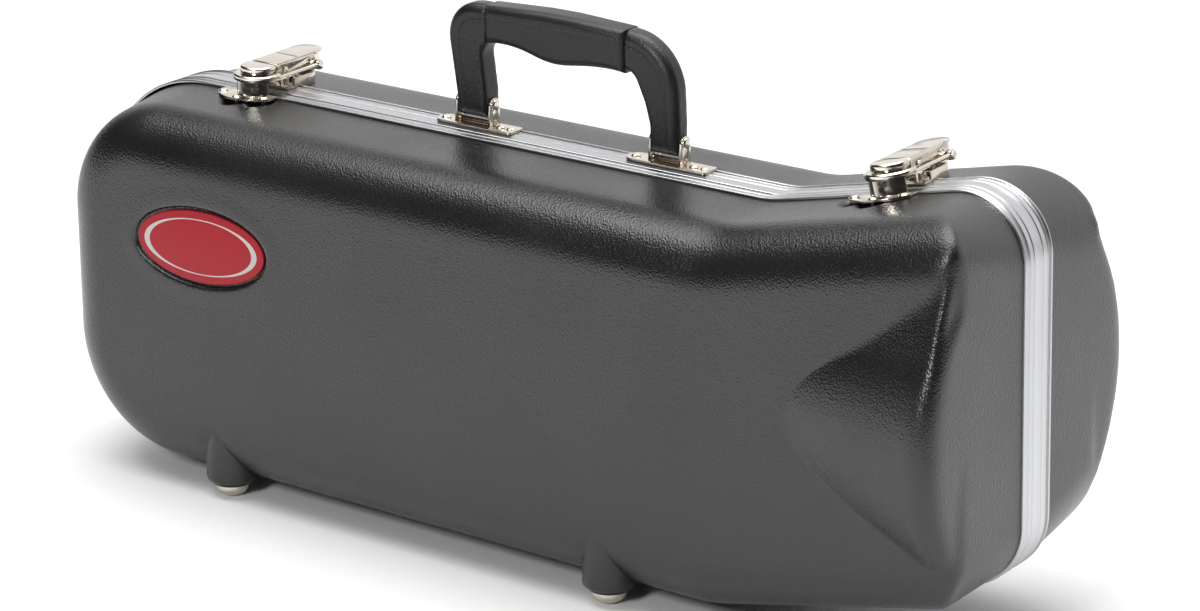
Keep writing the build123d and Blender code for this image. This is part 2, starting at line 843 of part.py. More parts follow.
with BuildPart() as lever:
    top_face = lever_top - latch_sheet
    with BuildSketch(Plane.XY.offset(top_face)):
        with Locations((0, lever_near)):
            Rectangle(2 * lever_half, tab_u - lever_near, align=(Align.CENTER, Align.MIN))
        with Locations((0, tab_u)):
            Circle(tab_radius)
    extrude(amount=latch_sheet)
    low = lever_pivot_w - cheek_low
    far_low = link_pivot_w - cheek_low
    side_points = [
        (lever_near, lever_top - cheek_lap),
        (lever_near, lever_pivot_w),
        (lever_pivot_u - cheek_nose, low),
        (lever_pivot_u + cheek_past, low),
        (link_pivot_u - cheek_past, far_low),
        (link_pivot_u + cheek_past / 2, far_low),
        (link_pivot_u + cheek_past, link_pivot_w),
        (link_pivot_u + cheek_past, lever_top - cheek_lap),
    ]
    for x in (-lever_half, lever_half - latch_sheet):
        add(cheek(x, latch_sheet, side_points, (pivot, link_pivot), cheek_corner))
    with Locations((0, tab_slot_u, lever_top)):
        Box(2 * (lever_half - latch_sheet), slot_width, 4 * latch_sheet, mode=Mode.SUBTRACT)

with BuildPart() as link:
    with BuildSketch(Plane.XY.offset(hook_low)):
        with Locations((0, hook_u)):
            Circle(hook_radius)
        with Locations((0, hook_end)):
            Rectangle(3 * hook_radius, 2 * hook_radius, align=(Align.CENTER, Align.MIN), mode=Mode.SUBTRACT)
    extrude(amount=hook_thick)
    chamfer(link.faces().sort_by(Axis.Z)[-1].edges().filter_by(GeomType.CIRCLE), length=hook_chamfer)
    for x in (-rail_v, rail_v):
        with BuildSketch(Plane.XZ.offset(-hook_u - 0.5)):
            with Locations((x, link_pivot_w)):
                Circle(rail_radius)
        extrude(amount=-(link_pivot_u - hook_u - 0.5 - latch_pin_radius))
        with Locations((x, link_pivot_u, link_pivot_w)):
            Cylinder(eye_radius, 2 * rail_radius, rotation=(0, 90, 0))
            Cylinder(latch_pin_radius + pin_gap, 3 * rail_radius, rotation=(0, 90, 0), mode=Mode.SUBTRACT)

with BuildPart() as cap:
    neck_low = hook_low + hook_thick
    with Locations((0, cap_u, neck_low)):
        Cylinder(cap_radius - neck_step, neck_height, align=(Align.CENTER, Align.CENTER, Align.MIN))
    with BuildSketch(Plane.XY.offset(lever_top - cap_skirt)):
        with Locations((0, cap_u)):
            Circle(cap_radius)
    extrude(amount=cap_skirt)
    with Locations((0, hook_end, neck_low)):
        Box(
            3 * cap_radius,
            3 * cap_radius,
            3 * cap_skirt,
            align=(Align.CENTER, Align.MIN, Align.CENTER),
            mode=Mode.SUBTRACT,
        )
    chamfer(cap.faces().sort_by(Axis.Z)[-1].edges(), length=cap_chamfer)

with BuildPart() as link_pin:
    with BuildSketch(Plane.XY) as half_section:
        pin_reach = rail_v + rail_radius + play
        with BuildLine():
            Polyline(
                (-pin_reach - latch_pin_thick, 0),
                (-pin_reach - latch_pin_thick, latch_pin_head),
                (-pin_reach, latch_pin_head),
                (-pin_reach, latch_pin_radius),
                (pin_reach, latch_pin_radius),
                (pin_reach, latch_pin_head),
                (pin_reach + latch_pin_thick, latch_pin_head),
                (pin_reach + latch_pin_thick, 0),
                close=True,
            )
        make_face()
    revolve(axis=Axis.X)

with BuildPart() as tray:
    with BuildSketch():
        with Locations((0, tray_start)):
            Rectangle(2 * tray_half, tray_end - tray_half - tray_start, align=(Align.CENTER, Align.MIN))
        with Locations((0, tray_end - tray_half)):
            Circle(tray_half)
    extrude(amount=latch_sheet)
    with BuildSketch(Plane.XY.offset(-band_skin)):
        thick_start = half_band + tray_lap
        with Locations((0, thick_start)):
            Rectangle(
                2 * tray_half, tray_end - tray_half - thick_start, align=(Align.CENTER, Align.MIN)
            )
        with Locations((0, tray_end - tray_half)):
            Circle(tray_half)
        with Locations((0, thick_start)):
            Rectangle(3 * tray_half, tray_half, align=(Align.CENTER, Align.MAX), mode=Mode.SUBTRACT)
    extrude(amount=band_skin)
    with BuildSketch(Plane.XY.offset(latch_sheet)):
        with Locations((0, tray_end - tray_half)):
            Circle(tray_half)
            Circle(tray_half - latch_sheet, mode=Mode.SUBTRACT)
            Rectangle(
                3 * tray_half, 2 * tray_half, align=(Align.CENTER, Align.MAX), mode=Mode.SUBTRACT
            )
        for side in (-1, 1):
            with Locations((side * tray_half, tray_wall_start)):
                Rectangle(
                    latch_sheet,
                    tray_end - tray_half - tray_wall_start,
                    align=(Align.MAX if side > 0 else Align.MIN, Align.MIN),
                )
    extrude(amount=tray_wall - latch_sheet)
    for x in (-ear_v - latch_sheet, ear_v):
        with BuildSketch(Plane.YZ.offset(x)):
            with BuildLine():
                Polyline(
                    (tray_start, cheek_lap),
                    (lever_pivot_u - latch_ear_round, lever_pivot_w),
                    (lever_pivot_u + latch_ear_round, lever_pivot_w),
                    (lever_pivot_u + latch_ear_round + latch_ear_foot, cheek_lap),
                    close=True,
                )
            make_face()
            with Locations(pivot):
                Circle(latch_ear_round)
                Circle(latch_pin_radius + pin_gap, mode=Mode.SUBTRACT)
        extrude(amount=latch_sheet)
    with Locations(*[(0, u, latch_sheet) for u in latch_rivets_u]):
        Cylinder(rivet_radius + pin_gap, 6 * latch_sheet, mode=Mode.SUBTRACT)

with BuildPart() as pivot_pin:
    with Locations((0, lever_pivot_u, lever_pivot_w)):
        Cylinder(latch_pin_radius, 2 * lever_half + 8 * play, rotation=(0, 90, 0))

with BuildPart() as keeper:
    with BuildSketch(Plane.XY.offset(-band_skin)):
        left, right = keeper_shift - keeper_half, keeper_shift + keeper_half
        side_end = keeper_back - keeper_side
        with BuildLine():
            ThreePointArc((left, side_end), (keeper_shift, keeper_front), (right, side_end))
            Polyline((right, side_end), (right, keeper_back), (left, keeper_back), (left, side_end))
        make_face()
    extrude(amount=latch_sheet)
    with BuildSketch():
        with Locations((0, hook_u)):
            Circle(tower_radius)
            Circle(tower_radius - latch_sheet, mode=Mode.SUBTRACT)
            with Locations((0, -tower_cut)):
                Rectangle(
                    3 * tower_radius, 3 * tower_radius, align=(Align.CENTER, Align.MIN), mode=Mode.SUBTRACT
                )
    extrude(amount=tower_top)
    with Locations(*[(v, u, 0) for v, u in keeper_rivets]):
        Cylinder(rivet_radius + pin_gap, 6 * latch_sheet, mode=Mode.SUBTRACT)

for label, seat in zip(("left", "right"), latch_seats):
    save(at_seats(lever.part, [seat]), f"{label}_lever")
    placed_pin = shifted(seat, 0, link_pivot_u, link_pivot_w)
    save(at_seats(link_pin.part, [placed_pin]), f"{label}_link_pin")
    save(at_seats(link.part, [seat]), f"{label}_link")
    save(at_seats(cap.part, [seat]), f"{label}_latch_cap")
    save(at_seats(tray.part, [seat]), f"{label}_latch_base")
    save(at_seats(pivot_pin.part, [seat]), f"{label}_pivot_pin")
    save(at_seats(keeper.part, [seat]), f"{label}_keeper")
save(at_seats(rivet(through + latch_sheet), tray_rivet_seats), "latch_base_rivets")
save(at_seats(rivet(wall), keeper_rivet_seats), "keeper_rivets")


# ------------------------------------------------------------------ padded inserts
def nest(side):
    """Hollow for the trumpet and its small things, as one cutter."""
    with BuildPart() as hollow:
        with BuildSketch(Plane.XZ) as half_section:
            with BuildLine():
                Polyline(
                    (flare_start, bell_height),
                    (flare_start, bell_height + flare_small),
                    (
                        flare_start + throat[0] * (flare_end - flare_start),
                        bell_height + throat[1] * flare_small,
                    ),
                    (flare_end - flare_lip, bell_height + flare_large),
                    (flare_end, bell_height + flare_large),
                    (flare_end, bell_height),
                    close=True,
                )
            make_face()
        revolve(axis=Axis((0, 0, bell_height), (1, 0, 0)))
        with Locations((nest_left + pipe_radius, 0, bell_height)):
            Cylinder(
                tube_radius,
                flare_start - nest_left,
                rotation=(0, 90, 0),
                align=(Align.CENTER, Align.CENTER, Align.MIN),
            )
        with Locations((nest_left + pipe_radius, 0, pipe_height)):
            Cylinder(
                pipe_radius,
                valve_right - nest_left,
                rotation=(0, 90, 0),
                align=(Align.CENTER, Align.CENTER, Align.MIN),
            )
        with Locations(((nest_left + nest_bend) / 2, 0, (pipe_height + bell_height) / 2)):
            Box(nest_bend - nest_left, 2 * tube_radius, bell_height - pipe_height + 2 * pipe_radius)
        with Locations(((valve_left + valve_right) / 2, 0, (valve_low + valve_high) / 2)):
            Box(valve_right - valve_left, 2 * valve_half, valve_high - valve_low)
        if side > 0:
            with Locations(((tray_left + tray_right) / 2, 0, (tray_low + tray_high) / 2)):
                Box(
                    tray_right - tray_left,
                    tray_floor,
                    tray_high - tray_low,
                    align=(Align.CENTER, Align.MIN, Align.CENTER),
                )
            for x, z in mouthpiece_wells:
                with Locations((x, well_floor, z)):
                    Cylinder(
                        well_radius,
                        well_floor,
                        rotation=(90, 0, 0),
                        align=(Align.CENTER, Align.CENTER, Align.MIN),
                    )
    return hollow.part


for side, name in ((-1, "lid_insert"), (1, "base_insert")):
    with BuildPart() as insert:
        add(half_form(side, wall + insert_gap))
        add(outline_block(side, -tongue_reach, insert_setback, -band_skin), mode=Mode.SUBTRACT)
        add(nest(side), mode=Mode.SUBTRACT)
        if side < 0:
            with BuildSketch(seat_plane.offset(-wall - badge_seat - insert_gap)):
                clear = badge_margin + wall + insert_gap
                Ellipse(badge_long / 2 + clear, badge_short / 2 + clear)
            extrude(amount=badge_relief, mode=Mode.SUBTRACT)
    save(insert.part, name)
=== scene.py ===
# %% [markdown]
# # A moulded trumpet case
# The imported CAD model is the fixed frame: every piece made here sits where the CAD says and rides on
# one of its bodies. Metres, +Z up. The lid faces -Y, the bell end is at +X.

import json
from math import cos, pi, radians, sin, tan

import bmesh
import bpy
import numpy as np
from mathutils import Matrix, Vector
from mathutils.bvhtree import BVHTree


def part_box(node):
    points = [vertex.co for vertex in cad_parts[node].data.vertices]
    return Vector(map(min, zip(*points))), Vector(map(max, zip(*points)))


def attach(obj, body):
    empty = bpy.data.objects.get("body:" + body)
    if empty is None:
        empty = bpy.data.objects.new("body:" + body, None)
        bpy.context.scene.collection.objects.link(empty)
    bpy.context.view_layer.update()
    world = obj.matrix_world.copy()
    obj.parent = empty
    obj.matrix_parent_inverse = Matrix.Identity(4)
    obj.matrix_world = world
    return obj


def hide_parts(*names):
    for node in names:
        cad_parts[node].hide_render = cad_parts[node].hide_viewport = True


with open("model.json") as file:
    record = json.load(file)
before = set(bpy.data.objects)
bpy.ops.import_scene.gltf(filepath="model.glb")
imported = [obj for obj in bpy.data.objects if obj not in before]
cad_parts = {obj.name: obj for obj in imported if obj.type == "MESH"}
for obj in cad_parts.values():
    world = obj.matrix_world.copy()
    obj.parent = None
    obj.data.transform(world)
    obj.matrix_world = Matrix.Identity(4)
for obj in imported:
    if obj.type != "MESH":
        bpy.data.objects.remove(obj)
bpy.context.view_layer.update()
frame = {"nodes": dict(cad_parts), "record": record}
nodes = frame["nodes"]

MM = 0.001

# %% [markdown]
# ## The outline
# Both halves, the valance and the padding follow one outline: six straight sides with rounded corners.
# It is sampled evenly by length, with an outward normal at each sample, so that everything which runs
# round the case can be made as a sweep.

# %% Driving values of the outline, in millimetres
PARTING = 6.0
LOW, HIGH = 6.8, 203.2
HALF_LENGTH = 285.0
RISE_START, RISE = 142.4, radians(12.9)
LEAN, BELLY = radians(1.55), 68.0
ROUNDS = (80.0, 60.0, 35.0, 33.0, -60.0, 72.0)
HALF_BAND = 12.7
SKIN = 1.2
DEPTH = {-1: 76.0, 1: 67.0}  # parting plane to the face, lid and base


def outline_corners():
    """Corners of the outline, anticlockwise seen from the front, with the two directions that meet."""
    lines = [
        ((0, LOW), (1, 0)),
        ((RISE_START, LOW), (cos(RISE), sin(RISE))),
        ((HALF_LENGTH, BELLY), (-sin(LEAN), cos(LEAN))),
        ((RISE_START, HIGH), (-cos(RISE), -sin(RISE))),
        ((0, HIGH), (-1, 0)),
        ((-HALF_LENGTH, 0), (0, -1)),
    ]
    corners = []
    for i, ((qx, qz), (ex, ez)) in enumerate(lines):
        (px, pz), (dx, dz) = lines[i - 1]
        t = ((qx - px) * ez - (qz - pz) * ex) / (dx * ez - dz * ex)
        corners.append((Vector((px + dx * t, pz + dz * t)), Vector((dx, dz)), Vector((ex, ez)), ROUNDS[i]))
    return corners


def outline(count):
    """Evenly spaced points of the outline and their outward normals, in millimetres, as (x, z)."""
    path = []
    for corner, before, after, size in outline_corners():
        turn = before.angle_signed(after)  # clockwise positive
        reach = abs(size * tan(turn / 2))
        start = corner - before * reach
        centre = start + Vector((-before.y, before.x)) * size
        steps = 48
        for k in range(steps + 1):
            a = -turn * k / steps
            arm = start - centre
            path.append(centre + Vector((arm.x * cos(a) - arm.y * sin(a), arm.x * sin(a) + arm.y * cos(a))))
    points = np.array(path)
    gaps = np.linalg.norm(np.roll(points, -1, 0) - points, axis=1)
    along = np.concatenate([[0], np.cumsum(gaps)])
    closed = np.vstack([points, points[:1]])
    wanted = np.arange(count) * along[-1] / count
    even = np.stack([np.interp(wanted, along, closed[:, k]) for k in (0, 1)], 1)
    ahead = np.roll(even, -1, 0) - np.roll(even, 1, 0)
    ahead /= np.linalg.norm(ahead, axis=1)[:, None]
    return even, np.stack([ahead[:, 1], -ahead[:, 0]], 1), along[-1]


points, normals, girth = outline(720)
print("outline", round(girth, 1), "mm round", points.min(0).round(1), points.max(0).round(1))

# %% [markdown]
# ## Helpers
# A mesh from points and faces, a CAD node copied with softened edges, and the calls that every
# finished piece needs.

# %% Mesh helpers
BODIES = frame["record"]["behaviour"]["bodies"]
BODY_OF = {name: body for body, members in BODIES.items() for name in members}


def make(name, points, faces, material):
    """Smooth-shaded mesh object from points in millimetres."""
    mesh = bpy.data.meshes.new(name)
    mesh.from_pydata([tuple(np.array(p) * MM) for p in points], [], [tuple(f) for f in faces])
    mesh.update()
    piece = bpy.data.objects.new(name, mesh)
    bpy.context.scene.collection.objects.link(piece)
    mesh.materials.append(material)
    for face in mesh.polygons:
        face.use_smooth = True
    return piece


def settle(piece, body, slot, *replaced):
    """The calls that a finished piece needs."""
    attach(piece, body)
    if replaced:
        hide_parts(*replaced)
    print(f"{piece.name}: {len(piece.data.polygons)} faces on {body}")
    return piece


def apply_modifiers(piece):
    """Bake the modifier stack into the mesh."""
    graph = bpy.context.evaluated_depsgraph_get()
    baked = bpy.data.meshes.new_from_object(piece.evaluated_get(graph))
    piece.modifiers.clear()
    piece.data = baked
    return piece


def mark_sharp(mesh, degrees=32):
    """Smooth shading with hard edges kept where faces meet at more than this angle."""
    work = bmesh.new()
    work.from_mesh(mesh)
    for edge in work.edges:
        edge.smooth = not (len(edge.link_faces) == 2 and edge.calc_face_angle(0) > radians(degrees))
    for face in work.faces:
        face.smooth = True
    work.to_mesh(mesh)
    work.free()


def soften(node, material, slot, width):
    """A copy of a CAD node with its edges eased by a width, standing for the node."""
    source = nodes[node]
    mesh = source.data.copy()
    work = bmesh.new()
    work.from_mesh(mesh)
    bmesh.ops.remove_doubles(work, verts=work.verts, dist=2e-6)
    bmesh.ops.dissolve_limit(work, angle_limit=radians(0.5), verts=work.verts, edges=work.edges)
    work.to_mesh(mesh)
    work.free()
    piece = bpy.data.objects.new(node + "_soft", mesh)
    bpy.context.scene.collection.objects.link(piece)
    mesh.materials.clear()
    mesh.materials.append(material)
    ease = piece.modifiers.new("ease", "BEVEL")
    ease.width = width * MM
    ease.segments = 2
    ease.limit_method = "ANGLE"
    ease.angle_limit = radians(35)
    ease.use_clamp_overlap = True
    apply_modifiers(piece)
    mark_sharp(piece.data)
    return settle(piece, BODY_OF[node], slot, node)


# %% [markdown]
# ## Materials
# Each one is procedural, in object coordinates, so that its grain stays on the piece when it moves.

# %% Material tools
def new_material(name):
    """Empty material and its shader."""
    material = bpy.data.materials.new(name)
    material.use_nodes = True
    return material, material.node_tree.nodes["Principled BSDF"]


def node_of(tree, kind, **settings):
    """Add a node and set its sockets by name, or its properties where it has no such socket."""
    made = tree.nodes.new(kind)
    for key, value in settings.items():
        if key in made.inputs:
            made.inputs[key].default_value = value
        else:
            setattr(made, key, value)
    return made


def spread_gloss(tree, source, shader, roughness, spread):
    """Let a noise carry the roughness up and down by a spread."""
    rough = node_of(tree, "ShaderNodeMapRange")
    ends = {"From Min": 0.3, "From Max": 0.7, "To Min": roughness - spread, "To Max": roughness + spread}
    for socket, value in ends.items():
        rough.inputs[socket].default_value = value
    tree.links.new(source, rough.inputs["Value"])
    tree.links.new(rough.outputs["Result"], shader.inputs["Roughness"])


def grain_group():
    """Shared node group: height of a pebbled grain from a position, for moulded and leathery skins."""
    group = bpy.data.node_groups.new("pebble_grain", "ShaderNodeTree")
    group.interface.new_socket("Position", in_out="INPUT", socket_type="NodeSocketVector")
    group.interface.new_socket("Pebbles per metre", in_out="INPUT", socket_type="NodeSocketFloat")
    group.interface.new_socket("Height", in_out="OUTPUT", socket_type="NodeSocketFloat")
    group.interface.new_socket("Speckle", in_out="OUTPUT", socket_type="NodeSocketFloat")
    start = group.nodes.new("NodeGroupInput")
    end = group.nodes.new("NodeGroupOutput")
    cells = node_of(group, "ShaderNodeTexVoronoi", feature="SMOOTH_F1", Smoothness=0.6)
    fine = node_of(group, "ShaderNodeTexNoise", Detail=3.0, Roughness=0.6)
    wide = node_of(group, "ShaderNodeTexNoise", Scale=14.0, Detail=2.0)
    double = node_of(group, "ShaderNodeMath", operation="MULTIPLY")
    double.inputs[1].default_value = 1.7
    mix = node_of(group, "ShaderNodeMath", operation="MULTIPLY_ADD")
    mix.inputs[1].default_value = 0.45
    link = group.links.new
    link(start.outputs["Position"], cells.inputs["Vector"])
    link(start.outputs["Position"], fine.inputs["Vector"])
    link(start.outputs["Position"], wide.inputs["Vector"])
    link(start.outputs["Pebbles per metre"], cells.inputs["Scale"])
    link(start.outputs["Pebbles per metre"], double.inputs[0])
    link(double.outputs[0], fine.inputs["Scale"])
    link(fine.outputs["Fac"], mix.inputs[0])
    link(cells.outputs["Distance"], mix.inputs[2])
    link(mix.outputs[0], end.inputs["Height"])
    link(wide.outputs["Fac"], end.inputs["Speckle"])
    return group


GRAIN = grain_group()


def grained(name, colour, roughness, pebbles, height, lift=0.25, specular=0.5, spread=0.06):
    """Moulded or leathery skin: a dark colour that varies a little, and a pebbled bump."""
    material, shader = new_material(name)
    shader.inputs["Specular IOR Level"].default_value = specular
    tree = material.node_tree
    place = tree.nodes.new("ShaderNodeTexCoord")
    grain = tree.nodes.new("ShaderNodeGroup")
    grain.node_tree = GRAIN
    grain.inputs["Pebbles per metre"].default_value = pebbles
    tree.links.new(place.outputs["Object"], grain.inputs["Position"])
    bump = node_of(tree, "ShaderNodeBump", Strength=1.0, Distance=height)
    tree.links.new(grain.outputs["Height"], bump.inputs["Height"])
    tree.links.new(bump.outputs["Normal"], shader.inputs["Normal"])
    spread_gloss(tree, grain.outputs["Speckle"], shader, roughness, spread)
    ramp = tree.nodes.new("ShaderNodeValToRGB")
    ramp.color_ramp.elements[0].position = 0.2
    ramp.color_ramp.elements[0].color = (*[c * (1 + lift) for c in colour], 1)
    ramp.color_ramp.elements[1].position = 0.8
    ramp.color_ramp.elements[1].color = (*colour, 1)
    tree.links.new(grain.outputs["Height"], ramp.inputs["Fac"])
    tree.links.new(ramp.outputs["Color"], shader.inputs["Base Color"])
    return material


def metal(name, colour, roughness, scratch=0.00001, scale=(400, 400, 400), spread=0.08):
    """Plated or drawn metal: faint wear in the gloss and a shallow unevenness."""
    material, shader = new_material(name)
    tree = material.node_tree
    shader.inputs["Metallic"].default_value = 1.0
    place = tree.nodes.new("ShaderNodeTexCoord")
    stretch = node_of(tree, "ShaderNodeMapping")
    stretch.inputs["Scale"].default_value = scale
    noise = node_of(tree, "ShaderNodeTexNoise", Scale=1.0, Detail=4.0)
    tree.links.new(place.outputs["Object"], stretch.inputs["Vector"])
    tree.links.new(stretch.outputs["Vector"], noise.inputs["Vector"])
    spread_gloss(tree, noise.outputs["Fac"], shader, roughness, spread)
    ramp = tree.nodes.new("ShaderNodeValToRGB")
    ramp.color_ramp.elements[0].color = (*[c * 0.82 for c in colour], 1)
    ramp.color_ramp.elements[1].color = (*colour, 1)
    tree.links.new(noise.outputs["Fac"], ramp.inputs["Fac"])
    tree.links.new(ramp.outputs["Color"], shader.inputs["Base Color"])
    bump = node_of(tree, "ShaderNodeBump", Strength=1.0, Distance=scratch)
    tree.links.new(noise.outputs["Fac"], bump.inputs["Height"])
    tree.links.new(bump.outputs["Normal"], shader.inputs["Normal"])
    return material


# %% The materials
shell_black = grained("moulded_shell", (0.009, 0.009, 0.009), 0.27, 1000, 0.00017, specular=0.66)
grip_black = grained("leather_grain", (0.008, 0.008, 0.0085), 0.36, 1300, 0.00014, lift=0.6)
thread = grained("thread", (0.035, 0.035, 0.035), 0.5, 2500, 0.0001)
plush = grained("plush", (0.012, 0.012, 0.013), 0.95, 1600, 0.0006, lift=1.5)
rubber = grained("rubber", (0.012, 0.012, 0.012), 0.6, 1200, 0.00005)
nickel = metal("nickel", (0.78, 0.72, 0.63), 0.16)
aluminium = metal("aluminium", (0.6, 0.605, 0.62), 0.3, 0.000008, (14, 500, 14), 0.05)
copper = metal("copper", (0.56, 0.4, 0.31), 0.3)


PALE_RING = ((0.0381, 0.01495), (0.0345, 0.0144))  # half axes of its two ellipses, in metres


def badge_red(centre, tilt):
    """Red plate with a plain pale ring, thicker at its ends."""
    material, shader = new_material("badge_red")
    tree = material.node_tree
    link = tree.links.new
    shader.inputs["Roughness"].default_value = 0.45
    shader.inputs["Specular IOR Level"].default_value = 0.25
    place = tree.nodes.new("ShaderNodeTexCoord")
    inside = []
    for long, short in PALE_RING:
        turn = node_of(tree, "ShaderNodeMapping", vector_type="TEXTURE")
        turn.inputs["Location"].default_value = centre
        turn.inputs["Rotation"].default_value = (0, -tilt, 0)
        turn.inputs["Scale"].default_value = (long, 1.0, short)
        flat = node_of(tree, "ShaderNodeVectorMath", operation="MULTIPLY")
        flat.inputs[1].default_value = (1, 0, 1)
        length = node_of(tree, "ShaderNodeVectorMath", operation="LENGTH")
        under = node_of(tree, "ShaderNodeMath", operation="LESS_THAN")
        under.inputs[1].default_value = 1.0
        link(place.outputs["Object"], turn.inputs["Vector"])
        link(turn.outputs["Vector"], flat.inputs[0])
        link(flat.outputs["Vector"], length.inputs[0])
        link(length.outputs["Value"], under.inputs[0])
        inside.append(under)
    ring = node_of(tree, "ShaderNodeMath", operation="SUBTRACT")
    link(inside[0].outputs[0], ring.inputs[0])
    link(inside[1].outputs[0], ring.inputs[1])
    ramp = tree.nodes.new("ShaderNodeValToRGB")
    ramp.color_ramp.elements[0].color = (0.33, 0.012, 0.02, 1)
    ramp.color_ramp.elements[1].color = (0.5, 0.47, 0.45, 1)
    link(ring.outputs[0], ramp.inputs["Fac"])
    link(ramp.outputs["Color"], shader.inputs["Base Color"])
    return material


badge_low, badge_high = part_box("badge_plate")
badge_centre = (badge_low + badge_high) / 2
BADGE_TILT = radians(2.5)
badge_paint = badge_red(tuple(badge_centre), BADGE_TILT)
print(len(bpy.data.materials), "materials")

# %% [markdown]
# ## Moulded skins
# A vacuum-moulded half has soft creases everywhere. Its skin is a grid of rays cast onto the CAD shell:
# in from the sides, round the corner, and down onto the face. Points on a foot boss are filled from
# their neighbours, the grid is relaxed a little, and the result is given its thickness.

# %% Ray grid
SPINE = (Vector((-187.0, 105.0)), Vector((142.0, 105.0)), Vector((172.0, 112.0)))
ROUND_IN = 28.0
WALL_ROWS, CORNER_ROWS, FACE_ROWS = 15, 30, 44
SPINE_STEP = 4.0  # the last row of points lands on shared places this far apart along the centre line
SHELL_EDGE = 5.05  # where the shell starts, from the parting plane
FAR_OUT = 160  # start of a ray, outside every part of the shell
BOSS_REACH, BOSS_TOP = 15.5, 43  # points this near a foot boss are filled from their neighbours
SEAT_FLAT = (50.5, 28.5)  # half axes round the badge seat: what is made flat
SEAT_UNDER, SEAT_DROP = (47.0, 25.4), 2.3  # and what passes under the lip, and how far


def nearest_on_spine(point):
    """Closest of the shared places along the centre line of the face."""
    best = None
    for a, b in zip(SPINE, SPINE[1:]):
        along = b - a
        places = round(along.length / SPINE_STEP)
        t = round(max(0.0, min(1.0, (point - a).dot(along) / along.length_squared)) * places) / places
        spot = a + along * t
        if best is None or (spot - point).length < (best - point).length:
            best = spot
    return best


def skin_grid(node, side, bosses):
    """Rows of points on the outside of a moulded half, from the valance inwards over the face."""
    mesh = nodes[node].data
    tree = BVHTree.FromPolygons([v.co for v in mesh.vertices], [p.vertices for p in mesh.polygons])
    out = Vector((0, side, 0))
    rows, known = [], []
    turn = DEPTH[side] - ROUND_IN  # depth at which the rounding starts
    for (x, z), (nx, nz) in zip(points, normals):
        side_way = Vector((nx, 0, nz))
        core = Vector((x - nx * ROUND_IN, 0, z - nz * ROUND_IN))
        centre = nearest_on_spine(Vector((core.x, core.z)))
        column, sure = [], []
        rays = []
        for t in np.linspace(SHELL_EDGE, turn, WALL_ROWS):
            rays.append((core + Vector((0, PARTING + side * t, 0)), side_way))
        for k in range(1, CORNER_ROWS + 1):
            a = pi / 2 * k / CORNER_ROWS
            rays.append((core + Vector((0, PARTING + side * turn, 0)), side_way * cos(a) + out * sin(a)))
        for k in range(1, FACE_ROWS + 1):
            f = (k / FACE_ROWS) ** 0.95
            spot = Vector((core.x, core.z)).lerp(centre, f)
            rays.append((Vector((spot.x, PARTING + side * turn, spot.y)), out))
        for base, way in rays:
            hit = tree.ray_cast((base + way * FAR_OUT) * MM, -way)[0]
            hit = hit / MM if hit else base + way * ROUND_IN
            column.append(hit)
            apart = [(hit.x - bx) ** 2 + (hit.y - by) ** 2 > BOSS_REACH**2 for bx, by in bosses]
            sure.append(all(apart) or hit.z > BOSS_TOP)
        rows.append(column)
        known.append(sure)
    grid = np.array([[tuple(p) for p in column] for column in rows]).transpose(1, 0, 2)
    return grid, np.array(known).T


def relaxed(grid, known, fills=300, rounds=4):
    """Fill the unknown points from their neighbours, then ease the creases."""

    def around(g):
        up, down = np.roll(g, 1, 0), np.roll(g, -1, 0)
        up[0], down[-1] = g[0], g[-1]
        return (up + down + np.roll(g, 1, 1) + np.roll(g, -1, 1)) / 4

    if not known.all():
        for _ in range(fills):
            grid = np.where(known[..., None], grid, around(grid))
    edge = np.zeros(grid.shape[:2], bool)
    edge[:2] = True
    edge[-8:] = True  # the flat middle stays put
    for _ in range(rounds):
        grid = np.where(edge[..., None], grid, grid * 0.45 + around(grid) * 0.55)
    return grid


def grid_faces(rows, columns, flip=False):
    """Quads of a grid that closes on itself sideways."""
    faces = []
    for r in range(rows - 1):
        for c in range(columns):
            d = (c + 1) % columns
            quad = (r * columns + c, r * columns + d, (r + 1) * columns + d, (r + 1) * columns + c)
            faces.append(quad[::-1] if flip else quad)
    return faces


def moulded_skin(node, side, bosses, thickness=2.2):
    """The skin of one half, with its thickness, standing for the CAD shell."""
    grid, known = skin_grid(node, side, bosses)
    if side < 0:  # the badge seat is made as its own piece, and the skin passes under it
        ex, ez = badge_centre.x / MM, badge_centre.z / MM
        dx, dz = grid[..., 0] - ex, grid[..., 2] - ez
        u = dx * cos(BADGE_TILT) + dz * sin(BADGE_TILT)
        w = dz * cos(BADGE_TILT) - dx * sin(BADGE_TILT)
        over = (u / SEAT_FLAT[0]) ** 2 + (w / SEAT_FLAT[1]) ** 2 < 1
        grid[..., 1] = np.where(over, PARTING - DEPTH[-1], grid[..., 1])
        grid = relaxed(grid, known)
        under = (u / SEAT_UNDER[0]) ** 2 + (w / SEAT_UNDER[1]) ** 2 < 1
        grid[..., 1] = np.where(under, PARTING - DEPTH[-1] + SEAT_DROP, grid[..., 1])
    else:
        grid = relaxed(grid, known)
    count = grid.shape[1]
    faces = grid_faces(grid.shape[0], count, flip=side > 0)
    piece = make(node + "_skin", grid.reshape(-1, 3), faces, shell_black)
    work = bmesh.new()
    work.from_mesh(piece.data)
    bmesh.ops.remove_doubles(work, verts=work.verts, dist=5e-5)
    bmesh.ops.dissolve_degenerate(work, edges=work.edges, dist=1e-5)
    gaps = [edge for edge in work.edges if edge.is_boundary and abs(edge.verts[0].co.y) > 0.05]
    bmesh.ops.holes_fill(work, edges=gaps, sides=12)  # slits where the two sides of the centre line differ
    work.to_mesh(piece.data)
    work.free()
    thick = piece.modifiers.new("thickness", "SOLIDIFY")
    thick.thickness = thickness * MM
    thick.offset = -1
    apply_modifiers(piece)
    return settle(piece, BODY_OF[node], "shell", node)


